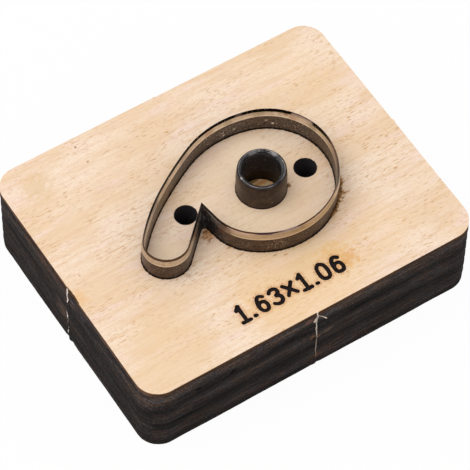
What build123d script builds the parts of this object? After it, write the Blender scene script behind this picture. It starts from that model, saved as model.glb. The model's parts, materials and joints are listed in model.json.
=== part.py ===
"""Cutting die: a bent steel rule and a tube punch, set in a laser-cut plywood board. Sizes in millimetres."""

import os
from math import atan2, degrees, sqrt

from build123d import *

os.makedirs("parts", exist_ok=True)

# Board: a plywood panel, with its length along X and its underside at Z = 0
board_length = 70.5
board_width = 56.0
board_thickness = 17.8
board_corner_radius = 4.5

# Tabs that held the board in its sheet, broken off at the middle of each side
tab_width = 0.6
tab_height = 0.2

# Rule: the strip that cuts the outline, ground to a long bevel and a short steeper facet on both sides
rule_thickness = 0.7
rule_height = 23.5
bevel_height = 1.9
facet_height = 0.5
facet_thickness = 0.34
edge_width = 0.08

# Outline: the rule's bends, from the sharp inner corner round the head and along the back to the tail
corner_x = -7.05
corner_y = -0.2
throat_angle = -81.4
throat_length = 4.2
chin_radius = 9.4
chin_turn = 39.0
belly_radius = 14.3
belly_turn = 123.7
crown_radius = 12.6
crown_turn = 81.0
nape_radius = 19.9
nape_turn = 44.0

# Outline: the round end of the tail, and the way the back runs into it
tail_x = -16.75
tail_y = -3.75
tail_radius = 4.2
tail_start_angle = 230.3

# Weld that closes the strip, in the outer side of the sharp corner
weld_radius = 1.1
weld_drop = 0.5

# Kerf: the laser's cut that holds the rule, left uncut at the bridges, which the rule's notches straddle
kerf_clearance = 0.05
bridge_width = 5.0
bridge_height = 12.0
notch_clearance = 0.3
belly_bridge_place = 0.35
crown_bridge_place = 0.25
back_bridge_place = 0.6

# Tube punch: a turned steel tube, bevelled at its rim from the inside and a little from the outside
punch_x = 6.08
punch_y = 0.1
punch_height = 24.0
punch_diameter = 9.5
punch_bore = 7.3
rim_edge_diameter = 8.54
rim_edge_width = 0.12
inner_bevel_height = 0.4
outer_bevel_height = 0.2
rim_taper_width = 0.18
rim_taper_height = 2.1
foot_chamfer = 0.3
seat_clearance = 0.05

# Wood plug left inside the tube, with its top under the board's face
core_depth = 2.3
core_clearance = 0.05

# Ejector holes, right through the board inside the outline
ejector_hole_diameter = 4.3
head_hole_x = 15.4
head_hole_y = -0.45
tail_hole_x = -8.9
tail_hole_y = 2.3

# Sizes that follow from the ones above
kerf_width = rule_thickness + 2 * kerf_clearance
bridge_reach = 5 * kerf_width
bevel_start = rule_height - bevel_height
facet_start = rule_height - facet_height
weld_height = bevel_start - weld_drop - board_thickness


def heading(angle):
    """Unit vector at an angle from +X."""
    return Vector(1, 0).rotate(Axis.Z, angle)


def outward(direction):
    """Unit vector to the outline's outer side, on a stretch that runs in a direction."""
    return direction.rotate(Axis.Z, -90)


def shared_tangent_point(start, start_direction, end, end_direction):
    """Point where an arc that leaves start runs on, without a kink, as the arc that reaches end."""
    gap = end - start
    along = gap.dot(start_direction + end_direction)
    spread = 2 * (1 - start_direction.dot(end_direction))
    reach = (sqrt(along**2 + spread * gap.dot(gap)) - along) / spread
    return (start + end + (start_direction - end_direction) * reach) / 2


# The tail's round end runs from the back to the point where the last straight touches it
corner = Vector(corner_x, corner_y)
tail_centre = Vector(tail_x, tail_y)
tail_start_bearing = tail_start_angle - 90
corner_bearing = degrees(atan2(corner_y - tail_y, corner_x - tail_x))
corner_distance = (corner - tail_centre).length
touch_bearing = corner_bearing - degrees(atan2(sqrt(corner_distance**2 - tail_radius**2), tail_radius))
middle_bearing = (tail_start_bearing + touch_bearing + 360) / 2
tail_start = tail_centre + heading(tail_start_bearing) * tail_radius
tail_middle = tail_centre + heading(middle_bearing) * tail_radius
tail_end = tail_centre + heading(touch_bearing) * tail_radius

# Centre line of the rule, each bend starting where the last one ends
with BuildLine() as outline:
    throat = PolarLine(corner, throat_length, throat_angle)
    chin = JernArc(throat @ 1, throat % 1, chin_radius, chin_turn)
    belly = JernArc(chin @ 1, chin % 1, belly_radius, belly_turn)
    crown = JernArc(belly @ 1, belly % 1, crown_radius, crown_turn)
    nape = JernArc(crown @ 1, crown % 1, nape_radius, nape_turn)
    back_joint = shared_tangent_point(nape @ 1, nape % 1, tail_start, heading(tail_start_angle))
    upper_back = TangentArc(nape @ 1, back_joint, tangent=nape % 1)
    lower_back = TangentArc(back_joint, tail_start, tangent=upper_back % 1)
    tail = ThreePointArc(tail_start, tail_middle, tail_end)
    tail_straight = Line(tail_end, corner)

bends = (throat, chin, belly, crown, nape, upper_back, lower_back, tail, tail_straight)

# The two straights meet in a mitre: a line beside the outline turns its corner along this vector
throat_side = outward(throat % 0)
tail_side = outward(tail_straight % 1)
mitre = (throat_side + tail_side) / (1 + throat_side.dot(tail_side))


def area_inside(shift, height):
    """Area inside the outline moved outwards by a shift, drawn at a height over the underside."""
    stops = [bend @ 0 + outward(bend % 0) * shift for bend in bends]
    stops[0] = corner + mitre * shift
    with BuildSketch(Plane.XY.offset(height)) as area:
        with BuildLine():
            for bend, start, end in zip(bends, stops, stops[1:] + stops[:1]):
                if bend.geom_type == GeomType.LINE:
                    Line(start, end)
                else:
                    TangentArc(start, end, tangent=bend % 0)
        make_face()
    return area.sketch


def strip(width):
    """Closed strip of one width along the outline, on the underside's plane."""
    with BuildSketch() as band:
        add(area_inside(width / 2, 0))
        add(area_inside(-width / 2, 0), mode=Mode.SUBTRACT)
    return band.sketch


# Planes on the underside where the bridges cross the kerf, with X along the rule
bridge_planes = [
    Plane(bend @ place, x_dir=bend % place, z_dir=(0, 0, 1))
    for bend, place in (
        (belly, belly_bridge_place),
        (crown, crown_bridge_place),
        (upper_back, back_bridge_place),
    )
]
on_underside = (Align.CENTER, Align.CENTER, Align.MIN)

# What the laser takes out for the rule: the strip's own width, less the bridges
with BuildPart() as kerf:
    extrude(strip(kerf_width), amount=board_thickness)
    with Locations(*bridge_planes):
        Box(bridge_width, bridge_reach, bridge_height, align=on_underside, mode=Mode.SUBTRACT)

with BuildPart() as die_board:
    with BuildSketch():
        RectangleRounded(board_length, board_width, board_corner_radius)
        with GridLocations(board_length, 0, 2, 1):
            Rectangle(2 * tab_height, tab_width)
        with GridLocations(0, board_width, 1, 2):
            Rectangle(tab_width, 2 * tab_height)
        with Locations((punch_x, punch_y)):
            Circle(punch_diameter / 2 + seat_clearance, mode=Mode.SUBTRACT)
        with Locations((head_hole_x, head_hole_y), (tail_hole_x, tail_hole_y)):
            Circle(ejector_hole_diameter / 2, mode=Mode.SUBTRACT)
    extrude(amount=board_thickness)
    add(kerf.part, mode=Mode.SUBTRACT)

die_board.part.label = "die_board"
export_step(die_board.part, "parts/die_board.step")

# Thickness of the rule at the levels where its ground faces start, turn steeper and meet the edge
ground_levels = (
    (rule_thickness, bevel_start),
    (facet_thickness, facet_start),
    (edge_width, rule_height),
)

# The outer ground faces fall inwards and the inner ones outwards, until both meet the edge
with BuildPart() as ground_hollow:
    loft([area_inside(-thickness / 2, level) for thickness, level in ground_levels], ruled=True)

with BuildPart() as ground_part:
    loft([area_inside(thickness / 2, level) for thickness, level in ground_levels], ruled=True)
    add(ground_hollow.part, mode=Mode.SUBTRACT)

# The weld rounds the outer side of the sharp corner, from the board's face to just under the bevel
with BuildSketch(Plane.XY.offset(board_thickness)) as weld_section:
    add(area_inside(rule_thickness / 2, board_thickness))
    sharp_corner = weld_section.vertices().sort_by_distance(corner + Vector(0, 0, board_thickness))[0]
    fillet(sharp_corner, radius=weld_radius)
    add(area_inside(rule_thickness / 2, board_thickness), mode=Mode.SUBTRACT)

with BuildPart() as cutting_rule:
    extrude(strip(rule_thickness), amount=bevel_start)
    add(ground_part.part)
    extrude(weld_section.sketch, amount=weld_height)
    with Locations(*bridge_planes):
        Box(
            bridge_width + 2 * notch_clearance,
            bridge_reach,
            bridge_height + notch_clearance,
            align=on_underside,
            mode=Mode.SUBTRACT,
        )

cutting_rule.part.label = "cutting_rule"
export_step(cutting_rule.part, "parts/cutting_rule.step")

# Half section of the tube, from its foot up the outside to the rim and down the bore
punch_plane = Plane(origin=(punch_x, punch_y, 0), x_dir=(1, 0, 0), z_dir=(0, -1, 0))
outer_radius = punch_diameter / 2
bore_radius = punch_bore / 2
edge_radius = rim_edge_diameter / 2
taper_radius = outer_radius - rim_taper_width
taper_top = punch_height - outer_bevel_height

with BuildPart() as tube_punch:
    with BuildSketch(punch_plane):
        with BuildLine():
            Polyline(
                (bore_radius, 0),
                (outer_radius - foot_chamfer, 0),
                (outer_radius, foot_chamfer),
                (outer_radius, taper_top - rim_taper_height),
                (taper_radius, taper_top),
                (edge_radius + rim_edge_width / 2, punch_height),
                (edge_radius - rim_edge_width / 2, punch_height),
                (bore_radius, punch_height - inner_bevel_height),
                close=True,
            )
        make_face()
    revolve(axis=Axis(punch_plane.origin, (0, 0, 1)))

tube_punch.part.label = "tube_punch"
export_step(tube_punch.part, "parts/tube_punch.step")

with BuildPart() as punch_core:
    with BuildSketch(Plane(origin=punch_plane.origin, z_dir=(0, 0, 1))):
        Circle(bore_radius - core_clearance)
    extrude(amount=board_thickness - core_depth)

punch_core.part.label = "punch_core"
export_step(punch_core.part, "parts/punch_core.step")

print(f"outline {outline.wires()[0].length:.1f} mm round, strip {len(bends)} stretches")
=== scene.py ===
# %% [markdown]
# # A steel rule cutting die
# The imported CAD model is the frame: it says where every solid is, and it isn't changed. Each of its four
# solids is then dressed by a piece that is modelled here, in the same place and at the same size, with the
# burns, fibres and ground faces that the real die shows. Everything is in metres; the `mm` helper keeps the
# numbers readable.

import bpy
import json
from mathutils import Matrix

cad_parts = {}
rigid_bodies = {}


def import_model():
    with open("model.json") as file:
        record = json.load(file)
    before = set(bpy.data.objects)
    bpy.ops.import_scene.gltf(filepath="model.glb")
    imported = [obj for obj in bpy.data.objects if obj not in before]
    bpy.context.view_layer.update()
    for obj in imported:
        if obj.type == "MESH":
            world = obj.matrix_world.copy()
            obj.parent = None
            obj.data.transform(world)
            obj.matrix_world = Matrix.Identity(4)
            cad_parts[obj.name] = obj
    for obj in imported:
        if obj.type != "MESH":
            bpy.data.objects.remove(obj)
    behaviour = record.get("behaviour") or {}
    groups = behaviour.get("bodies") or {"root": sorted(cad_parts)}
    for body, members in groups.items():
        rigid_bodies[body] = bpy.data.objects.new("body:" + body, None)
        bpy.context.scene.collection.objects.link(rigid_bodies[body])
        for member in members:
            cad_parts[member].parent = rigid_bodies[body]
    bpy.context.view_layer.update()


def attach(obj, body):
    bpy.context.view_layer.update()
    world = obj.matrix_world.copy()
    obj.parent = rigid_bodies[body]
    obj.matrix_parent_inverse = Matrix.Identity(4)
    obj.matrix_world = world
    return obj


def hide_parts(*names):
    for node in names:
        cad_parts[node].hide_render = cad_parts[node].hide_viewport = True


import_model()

# %% Libraries and small helpers
import json
import random
from math import ceil, cos, exp, floor, hypot, pi, radians, sin

import bmesh
import bpy
from mathutils import Matrix, Vector, noise
from mathutils.kdtree import KDTree

MM = 0.001


def mm(x, y, z=0.0):
    """A place given in millimetres, in Blender's metres."""
    return Vector((x, y, z)) * MM


def deselect():
    """Leaves nothing selected, so that the next piece is added by itself."""
    bpy.ops.object.select_all(action="DESELECT")


def focus(piece):
    """Leaves one piece selected and active, in object mode."""
    if bpy.context.object and bpy.context.object.mode == "EDIT":
        bpy.ops.object.mode_set(mode="OBJECT")
    deselect()
    piece.select_set(True)
    bpy.context.view_layer.objects.active = piece


def named(name):
    """Names the object that an operator has just added, and its mesh."""
    piece = bpy.context.object
    piece.name = piece.data.name = name
    return piece


def select_in(piece, kind, test=None):
    """Opens a piece in edit mode with only the vertices, edges or faces that pass a test selected."""
    focus(piece)
    bpy.ops.object.mode_set(mode="EDIT")
    bpy.ops.mesh.select_mode(type=kind)
    bpy.ops.mesh.select_all(action="DESELECT" if test else "SELECT")
    mesh = bmesh.from_edit_mesh(piece.data)
    for part in {"VERT": mesh.verts, "EDGE": mesh.edges, "FACE": mesh.faces}[kind]:
        if test and test(part):
            part.select_set(True)
    mesh.select_flush_mode()
    bmesh.update_edit_mesh(piece.data)


def cut_up(piece, kind, test, cuts):
    """Subdivides the edges or faces that pass a test."""
    select_in(piece, kind, test)
    bpy.ops.mesh.subdivide(number_cuts=cuts)


def copy_of(piece, name):
    """Copies a piece with a mesh of its own."""
    focus(piece)
    bpy.ops.object.duplicate()
    return named(name)


def one_vertex(name, place):
    """Starts a piece as a single vertex, in edit mode."""
    deselect()
    bpy.ops.mesh.primitive_plane_add(size=1)
    piece = named(name)
    bpy.ops.object.mode_set(mode="EDIT")
    bpy.ops.mesh.select_mode(type="VERT")
    bpy.ops.mesh.merge(type="CENTER")
    bpy.ops.transform.translate(value=place)
    return piece


def pull(step):
    """Extrudes what is selected by a step."""
    bpy.ops.mesh.extrude_region_move(TRANSFORM_OT_translate={"value": step})


def pull_through(start, levels):
    """Lifts what is selected to a start, and extrudes it up through levels in millimetres."""
    bpy.ops.transform.translate(value=mm(0, 0, start))
    for low, high in zip([start, *levels], levels):
        pull(mm(0, 0, high - low))


def close_mesh():
    """Turns every normal outwards and leaves edit mode."""
    bpy.ops.mesh.select_all(action="SELECT")
    bpy.ops.mesh.normals_make_consistent(inside=False)
    bpy.ops.object.mode_set(mode="OBJECT")


def modify(piece, kind, **settings):
    """Adds a modifier with its settings, and applies it."""
    focus(piece)
    bpy.ops.object.modifier_add(type=kind)
    modifier = piece.modifiers[-1]
    for name, value in settings.items():
        setattr(modifier, name, value)
    bpy.ops.object.modifier_apply(modifier=modifier.name)


def thicken(piece, thickness):
    """Gives a ribbon its thickness, half on each side, scaled by the vertex group "wall"."""
    modify(piece, "SOLIDIFY", thickness=thickness, offset=0, use_even_offset=True, vertex_group="wall")


def carve(piece, tool, operation="DIFFERENCE"):
    """Cuts a piece with a tool by a boolean, and throws the tool away."""
    modify(piece, "BOOLEAN", operation=operation, solver="MANIFOLD", object=tool)
    bpy.data.objects.remove(tool)


def smooth(piece, degrees):
    """Shades a piece smooth, apart from edges sharper than an angle."""
    focus(piece)
    bpy.ops.object.shade_smooth_by_angle(angle=radians(degrees))


def new_curve(name, radius, resolution):
    """Adds an empty curve with a round section and closed ends."""
    deselect()
    bpy.ops.object.add(type="CURVE")
    piece = named(name)
    piece.data.dimensions = "3D"
    piece.data.bevel_depth = radius
    piece.data.bevel_resolution = resolution
    piece.data.use_fill_caps = True
    return piece


def add_line(curve, kind, points, order, resolution):
    """Adds a line to a curve, through points given with their share of the section's radius."""
    line = curve.data.splines.new(kind)
    line.points.add(len(points) - 1)
    for point, (place, share) in zip(line.points, points):
        point.co = (*place, 1)
        point.radius = share
    line.order_u = order
    line.use_endpoint_u = True
    line.resolution_u = resolution
    return line


def points_between(start, end, gap, last=0):
    """Lists points from start towards end, no further apart than a gap in millimetres."""
    stops = ceil((end - start).length / (gap * MM))
    return [start.lerp(end, stop / stops) for stop in range(stops + last)]


def tell(piece):
    """Prints how many triangles a piece has, and its size."""
    triangles = sum(len(face.vertices) - 2 for face in piece.data.polygons)
    spans = [[vertex.co[axis] * 1000 for vertex in piece.data.vertices] for axis in range(3)]
    size = " x ".join(f"{max(span) - min(span):.2f}" for span in spans)
    print(f"{piece.name}: {triangles} triangles, {size} mm")


# %% [markdown]
# ## The outline
# A die maker bends the steel strip cold, one bend after another, from the sharp inner corner round the head,
# along the back, round the tail and back to the corner. The line is drawn the same way here: one vertex starts
# at the corner, is extruded along each straight and spun round each bend, so every bend leaves the last one
# without a kink. A traced curve would be quicker, but its bends would have no radius to set a bender to.

# %% Draw the centre line of the strip
corner = mm(-7.05, -0.2)
throat_heading, tail_heading = -81.4, 44.1
# radius and turn of each bend; a straight has the radius 0 and its length
bends = {
    "throat": (0, 4.2),
    "chin": (9.4, 39.0),
    "belly": (14.3, 123.7),
    "crown": (12.6, 81.0),
    "nape": (19.9, 44.0),
    "upper back": (74.0382, 8.1524),
    "lower back": (37.9079, 15.8476),
    "tail": (4.2, 173.7939),
    "tail straight": (0, 9.4368),
}


def toward(heading):
    """Unit vector along a heading given in degrees from +X."""
    return Vector((cos(radians(heading)), sin(radians(heading)), 0))


centre_line = one_vertex("centre_line", corner)
place, heading = corner.copy(), throat_heading
for radius, reach in bends.values():
    if radius:
        centre = place + toward(heading + 90) * radius * MM
        steps = ceil(radius * radians(reach) / 0.35)
        bpy.ops.mesh.spin(steps=steps, angle=-radians(reach), center=centre, axis=(0, 0, 1))
        heading += reach
        place = centre + toward(heading - 90) * radius * MM
    else:
        step = toward(heading) * reach * MM
        pull(step)
        place += step
bpy.ops.mesh.select_all(action="SELECT")
bpy.ops.mesh.remove_doubles(threshold=0.005 * MM)
bpy.ops.object.mode_set(mode="OBJECT")
print(f"the line closes within {(place - corner).length * 1000:.4f} mm, {len(centre_line.data.edges)} edges")

# %% Points along the line, for the burns beside it
line_points = []
for edge in centre_line.data.edges:
    start, end = [centre_line.data.vertices[index].co for index in edge.vertices]
    line_points += points_between(start, end, 0.2)
print(len(line_points), "points every 0.2 mm or less")

# %% [markdown]
# ## The cutting rule
# The rule is 0.7 mm strip steel, 23.5 mm high. Its top is ground on both sides: a long bevel first, then a
# short steeper facet, up to an edge that is almost sharp. Raising the centre line to each of those levels and
# giving the ribbon a thickness that shrinks from level to level makes all these faces at once. Sweeping a
# profile would twist it at the sharp corner; a solidified ribbon keeps its mitre.

# %% Raise the line through the rule's levels
rule_thickness = 0.7
# the board, which the rule stands in: its size, and the radius of its corners
board_length, board_width, board_height, board_radius = 70.5, 56.0, 17.8, 4.5
# height, and share of the thickness there
rule_levels = (
    (12.3, 1.0), (17.8, 1.0), (21.1, 1.0), (21.6, 1.0),
    (22.3, 0.757), (23.0, 0.486), (23.42, 0.17), (23.5, 0.1),
)


def raise_line(name, start, levels):
    """Copies the centre line and extrudes it up through levels, each with its share of the thickness."""
    ribbon = copy_of(centre_line, name)
    group = ribbon.vertex_groups.new(name="wall")
    select_in(ribbon, "VERT")
    pull_through(start, [level for level, _ in levels])
    close_mesh()
    shares = {round(level, 3): share for level, share in levels}
    for vertex in ribbon.data.vertices:
        share = shares.get(round(vertex.co.z * 1000, 3), levels[0][1])
        group.add([vertex.index], share, "REPLACE")
    return ribbon


rule = raise_line("rule", 0, rule_levels)
thicken(rule, rule_thickness * MM)
tell(rule)

# %% Fill the outer side of the sharp corner with weld
mitre = toward(throat_heading - 90) + toward(tail_heading - 90)
mitre *= rule_thickness / 2 * MM / (1 + toward(throat_heading).dot(toward(tail_heading)))
outer_corner = corner + mitre
weld_radius, wedge = 1.1, radians(54.5)


def on_weld_edge(edge):
    """Picks the corner's upright edge between the board's face and the bevel."""
    heights = [vertex.co.z * 1000 for vertex in edge.verts]
    near = all(hypot(*(vertex.co - outer_corner).xy) < 0.05 * MM for vertex in edge.verts)
    return near and min(heights) > 17.7 and max(heights) < 21.2


select_in(rule, "EDGE", on_weld_edge)
print("weld edges:", sum(edge.select for edge in bmesh.from_edit_mesh(rule.data).edges))
bpy.ops.mesh.bevel(offset=weld_radius * MM / sin(wedge / 2) * cos(wedge / 2), segments=6, clamp_overlap=False)
bpy.ops.object.mode_set(mode="OBJECT")
tell(rule)

# %% Notch the rule where it straddles the bridges
line_starts = {}
place, heading = corner.copy(), throat_heading
for name, (radius, reach) in bends.items():
    line_starts[name] = (place.copy(), heading, radius, reach)
    if radius:
        place += (toward(heading + 90) - toward(heading + reach + 90)) * radius * MM
        heading += reach
    else:
        place += toward(heading) * reach * MM

# the bend that each bridge crosses, and how far along it
bridges = (("belly", 0.35), ("crown", 0.25), ("upper back", 0.6))
bridge_width, bridge_top = 5.0, 12.0
notch_gap = 0.3


def box_across(name, bend, share, width, bottom, top):
    """Adds a block across the line, part of the way along one bend."""
    start, heading, radius, reach = line_starts[bend]
    turned_to = heading + reach * share
    centre = start + (toward(heading + 90) - toward(turned_to + 90)) * radius * MM
    deselect()
    bpy.ops.mesh.primitive_cube_add(size=1)
    block = named(name)
    height = top - bottom
    shape = Matrix.Diagonal((width * MM, 4.0 * MM, height * MM, 1))
    turn = Matrix.Rotation(radians(turned_to), 4, "Z")
    block.data.transform(Matrix.Translation(centre + mm(0, 0, bottom + height / 2)) @ turn @ shape)
    return block


for bend, share in bridges:
    block = box_across("notch", bend, share, bridge_width + 2 * notch_gap, -1.0, bridge_top + notch_gap)
    carve(rule, block)
tell(rule)

# %% [markdown]
# ## The burned mark
# The die's size is burned into the wood as single strokes, which a laser draws as a pen does. The strokes are
# curves with a round section and a ball at each end. They are turned to one closed skin by a fine voxel remesh,
# because strokes that cross would upset a boolean. Plain numbers stand here.

# %% Strokes of the numbers, on a cell one wide and one high
strokes = {
    "1": (((0.22, 0.8), (0.5, 1.0)), ((0.5, 1.0), (0.5, 0.0)), ((0.16, 0.0), (0.84, 0.0))),
    "6": (((0.84, 0.86), (0.62, 1.0), (0.34, 0.96), (0.16, 0.66), (0.12, 0.34), (0.2, 0.06), (0.5, 0.0),
           (0.8, 0.06), (0.9, 0.32), (0.78, 0.56), (0.5, 0.62), (0.24, 0.54), (0.13, 0.32)),),
    "3": (((0.12, 0.84), (0.3, 1.0), (0.66, 1.0), (0.86, 0.8), (0.8, 0.58), (0.44, 0.54), (0.82, 0.48),
           (0.92, 0.24), (0.7, 0.0), (0.3, 0.0), (0.08, 0.16)),),
    "0": (((0.5, 1.0), (0.2, 0.94), (0.1, 0.7), (0.1, 0.3), (0.2, 0.06), (0.5, 0.0), (0.8, 0.06),
           (0.9, 0.3), (0.9, 0.7), (0.8, 0.94), (0.5, 1.0)),),
    "x": (((0.1, 0.16), (0.9, 0.84)), ((0.1, 0.84), (0.9, 0.16))),
    ".": (((0.2, 0.03), (0.8, 0.03)),),
}
mark_text = "1.63x1.06"
mark_start = Vector((-12.75, -22.84))
mark_turn = radians(-0.4)
cell_width, cell_height = 2.3, 3.41
advance, dot_advance = 2.95, 1.25
stroke_radius = 0.41

mark = new_curve("mark", stroke_radius * MM, 2)
dice = random.Random(5)
stroke_ends = []
pen = 0.0
for sign in mark_text:
    for stroke in strokes[sign]:
        points = []
        for across, up in stroke:
            width = 0.4 if sign == "." else cell_width
            x, y = pen + across * width, up * cell_height
            x += dice.uniform(-0.05, 0.05)
            y += dice.uniform(-0.05, 0.05)
            place_x = mark_start.x + (x * cos(mark_turn) - y * sin(mark_turn))
            place_y = mark_start.y + (x * sin(mark_turn) + y * cos(mark_turn))
            points.append((mm(place_x, place_y, board_height), dice.uniform(0.88, 1.1)))
        line = add_line(mark, "NURBS" if len(stroke) > 4 else "POLY", points, 4, 5)
        stroke_ends += [(point.co.xyz, point.radius) for point in (line.points[0], line.points[-1])]
    pen += dot_advance if sign == "." else advance
print(f"{len(mark.data.splines)} strokes, {pen:.1f} mm long")

# %% Points along the strokes, then one skin round them
focus(mark)
bpy.ops.object.convert(target="MESH")
mark = named("mark")
stroke_points = []
for edge in mark.data.edges:
    start, end = [mark.data.vertices[index].co for index in edge.vertices]
    if max(start.z, end.z) < 17.62 * MM:
        stroke_points += points_between(start, end, 0.1, 1)
print(len(stroke_points), "points along the strokes")
for place, size in stroke_ends:
    radius = size * stroke_radius * MM
    bpy.ops.mesh.primitive_uv_sphere_add(segments=16, ring_count=8, radius=radius, location=place)
    bpy.context.object.name = "stroke_end"
deselect()
for ball in [piece for piece in bpy.data.objects if piece.name.startswith("stroke_end")]:
    ball.select_set(True)
mark.select_set(True)
bpy.context.view_layer.objects.active = mark
bpy.ops.object.join()
focus(mark)
mark.data.remesh_voxel_size = 0.1 * MM
bpy.ops.object.voxel_remesh()
tell(mark)

# %% [markdown]
# ## The board
# The base is a block of birch plywood, cut by a laser that chars its sides: the plies with their grain along
# the cut burn into long streaks, the cross plies burn deeper. So the sides are one skirt of small faces whose
# points are pushed in and out by noise stretched along the board. The face is a dense block, dense enough near
# the cuts to carry the scorch beside them. Where skirt and block overlap, a boolean keeps the board.

# %% The skirt: the board's outline with fine columns, finest at the tabs
plies = 13
ply = board_height / plies

deselect()
bpy.ops.mesh.primitive_plane_add(size=1)
board = named("board")
bpy.ops.object.mode_set(mode="EDIT")
bpy.ops.transform.resize(value=(board_length * MM, board_width * MM, 1))
bpy.ops.mesh.bevel(affect="VERTICES", offset=board_radius * MM, segments=12)
bpy.ops.mesh.delete(type="ONLY_FACE")
for longest in (10 * MM, 2 * MM):
    cut_up(board, "EDGE", lambda edge: edge.calc_length() > longest, 9)


def near_tab(edge):
    """Picks the edges beside the middle of a side."""
    return all(min(abs(vertex.co.x), abs(vertex.co.y)) < 1.3 * MM for vertex in edge.verts)


cut_up(board, "EDGE", near_tab, 7)
bpy.ops.object.mode_set(mode="OBJECT")
print(len(board.data.edges), "columns round the board")

# %% Raise the skirt in thin rows, five to a ply
rows_per_ply = 5
row_levels = [0.05] + [ply * row / rows_per_ply for row in range(1, plies * rows_per_ply)]
row_levels += [board_height - 0.08, board_height + 0.6]
select_in(board, "VERT")
pull_through(-0.5, row_levels)
bpy.ops.mesh.edge_face_add()
select_in(board, "VERT", lambda vertex: vertex.co.z < -0.4 * MM)
bpy.ops.mesh.edge_face_add()
close_mesh()
tell(board)

# %% Char the skirt: plies, streaks, gashes and broken tabs
core_x = board_length / 2 - board_radius
core_y = board_width / 2 - board_radius

# side, middle along the side, height, half length, half height, depth
gashes = (
    ("front", -25.2, 13.2, 0.9, 0.25, 0.45), ("front", -17.6, 12.9, 0.8, 0.25, 0.45),
    ("front", -6.0, 12.8, 4.2, 0.2, 0.35), ("front", 9.5, 12.6, 3.0, 0.18, 0.25),
    ("front", 21.0, 7.0, 5.0, 0.2, 0.25), ("front", -28.0, 6.6, 3.5, 0.2, 0.25),
    ("front", 14.0, 1.6, 6.0, 0.2, 0.25), ("left", 12.0, 8.9, 5.0, 0.2, 0.25),
    ("left", -12.0, 12.6, 4.0, 0.2, 0.3), ("left", -8.0, 4.4, 4.0, 0.2, 0.25),
    ("left", 20.0, 4.0, 3.0, 0.2, 0.25), ("right", 5.0, 10.4, 6.0, 0.2, 0.3),
    ("right", -14.0, 5.0, 4.0, 0.2, 0.25), ("back", -10.0, 12.8, 5.0, 0.2, 0.3),
    ("back", 12.0, 6.2, 4.0, 0.2, 0.3),
)


def side_of(outward):
    """Names the side of the board that faces a direction."""
    if abs(outward.y) > abs(outward.x):
        return "back" if outward.y > 0 else "front"
    return "right" if outward.x > 0 else "left"


def along_side(side, x, y):
    """Place along a side, from its middle."""
    return x if side in ("front", "back") else y


def from_core(x, y):
    """The way from the middle field between the rounded corners out to a point, in millimetres."""
    return Vector((x - max(-core_x, min(core_x, x)), y - max(-core_y, min(core_y, y))))


def held(value):
    """Keeps a value between 0 and 1."""
    return max(0.0, min(1.0, value))


def char_depth(x, y, z, outward):
    """How far the char stands in from the saw line at a point of the sides, in millimetres."""
    side = side_of(outward)
    along = along_side(side, x, y)
    index = floor(z / ply)
    within = z / ply - index
    cross = (index % 2 == 1) == (side in ("front", "back"))
    depth = 0.09 if cross else 0.03
    depth += 0.05 * exp(-((min(within, 1 - within) / 0.12) ** 2))
    streak = noise.noise(Vector((x * 0.16, y * 0.16, z * 2.6)))
    fibre = noise.noise(Vector((x * 0.9 + 40, y * 0.9, z * 4.5)))
    depth += 0.09 * max(0, streak) + (0.06 if cross else 0.03) * abs(fibre)
    for place, middle, level, half_length, half_height, deepest in gashes:
        if place == side:
            reach = ((along - middle) / half_length) ** 2 + ((z - level) / half_height) ** 2
            depth += deepest * exp(-reach * 1.5)
    return depth


# The torn line of a broken tab: height, place along the side, half width, and how pale the wood is
torn_lines = {
    "front": (
        (0.0, 0.1, 0.1, 0.0), (2.0, 0.14, 0.1, 0.0), (2.6, 0.28, 0.14, 0.35), (3.4, 0.18, 0.1, 0.4),
        (4.5, 0.04, 0.08, 0.5), (6.3, 0.05, 0.08, 0.5), (7.2, 0.08, 0.09, 0.6), (7.9, 0.16, 0.08, 0.5),
        (8.6, 0.0, 0.09, 0.6), (9.2, 0.22, 0.08, 0.4), (10.0, 0.12, 0.12, 0.6), (11.4, 0.02, 0.14, 0.75),
        (12.5, -0.14, 0.13, 0.8), (13.4, -0.02, 0.11, 0.7), (14.1, -0.15, 0.14, 0.85),
        (15.5, -0.07, 0.11, 0.9), (15.9, 0.1, 0.15, 1.0), (16.6, 0.04, 0.12, 1.0), (18.5, -0.08, 0.15, 1.0),
    ),
    "left": (
        (0.0, 0.4, 0.1, 0.0), (1.2, 0.55, 0.1, 0.0), (2.2, 0.64, 0.24, 0.5), (2.9, 0.64, 0.24, 0.5),
        (3.5, 0.6, 0.1, 0.3), (4.3, 0.5, 0.12, 0.45), (5.3, 0.6, 0.1, 0.2), (6.1, 0.62, 0.12, 0.5),
        (6.8, 0.6, 0.1, 0.1), (7.1, 0.6, 0.2, 0.9), (8.2, 0.56, 0.22, 1.0), (8.8, 0.88, 0.2, 1.0),
        (9.2, 0.92, 0.1, 0.0), (12.4, 0.41, 0.1, 0.0), (13.0, 0.33, 0.18, 0.8), (13.8, 0.2, 0.24, 1.0),
        (14.9, 0.28, 0.22, 1.0), (15.9, 0.25, 0.22, 1.0), (17.0, 0.17, 0.26, 1.0), (18.5, 0.17, 0.28, 1.0),
    ),
}
# Where the wood broke at the foot of a tab: place along the side, half width, how far it stands out
foot_marks = {
    "front": ((-0.2, 0.3, 0.06), (0.7, 0.35, -0.1)),
    "left": ((0.2, 0.28, 0.14), (-0.6, 0.35, -0.14), (1.1, 0.35, -0.18)),
}
for seen, hidden in (("front", "back"), ("left", "right")):
    torn_lines[hidden] = [(level, -place, width, pale) for level, place, width, pale in torn_lines[seen]]
    foot_marks[hidden] = [(-middle, half_width, out) for middle, half_width, out in foot_marks[seen]]


def torn_line(side, z):
    """Place along the side, half width and paleness of a tab's torn line at a height."""
    stops = torn_lines[side]
    for (low, *under), (high, *over) in zip(stops, stops[1:]):
        if z < high:
            share = max(0.0, (z - low) / (high - low))
            return [value + (next_value - value) * share for value, next_value in zip(under, over)]
    return stops[-1][1:]


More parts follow.
